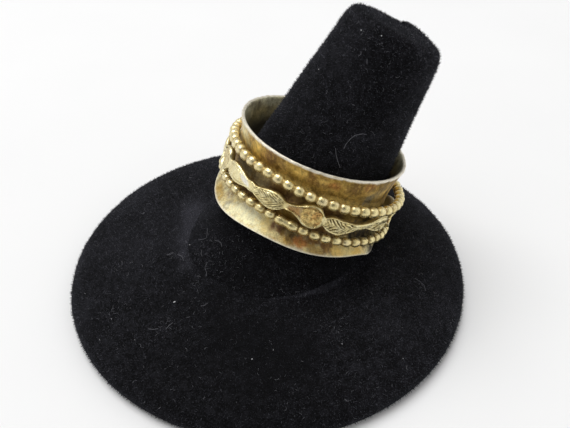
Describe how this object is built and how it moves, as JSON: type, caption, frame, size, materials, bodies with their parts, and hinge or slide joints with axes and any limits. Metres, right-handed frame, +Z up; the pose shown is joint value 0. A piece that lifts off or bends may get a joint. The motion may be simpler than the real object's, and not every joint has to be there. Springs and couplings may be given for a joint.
{
  "type": "spinner ring on a ring display stand",
  "caption": "Wide flared band carrying beaded and leaf-and-medallion hoops that spin round it, held on a leaning velvet finger stand with a round base.",
  "frame": {"origin": "middle of the stand's flat underside", "axes": "+Z up; the stand's post and the ring on it lean towards +X; the side seen in the picture faces -Y and a little -X"},
  "size_m": [0.0572, 0.0572, 0.0385],
  "materials": {
    "velvet": "black velvet flock",
    "gilt_band": "worn gold wash over silver, tarnished in patches",
    "gilt_hoops": "pale gold wash over silver, polished on the high spots"
  },
  "bodies": {
    "root": {"stand_base": "velvet", "stand_post": "velvet", "band": "gilt_band"},
    "upper_hoop": {"upper_bead_hoop": "gilt_hoops"},
    "middle_hoop": {"leaf_hoop": "gilt_hoops"},
    "lower_hoop": {"lower_bead_hoop": "gilt_hoops"}
  },
  "joints": [
    {"name": "upper_hoop_spin", "type": "hinge", "parent": "root", "child": "upper_hoop", "pos_m": [0.00795, 0.00029, 0.01793], "axis": [0.4235, 0.0489, 0.9046], "continuous": true},
    {"name": "middle_hoop_spin", "type": "hinge", "parent": "root", "child": "middle_hoop", "pos_m": [0.00679, 0.00042, 0.01561], "axis": [0.4235, 0.0489, 0.9046], "continuous": true},
    {"name": "lower_hoop_spin", "type": "hinge", "parent": "root", "child": "lower_hoop", "pos_m": [0.0062, 0.00059, 0.01313], "axis": [0.4235, 0.0489, 0.9046], "continuous": true}
  ]
}
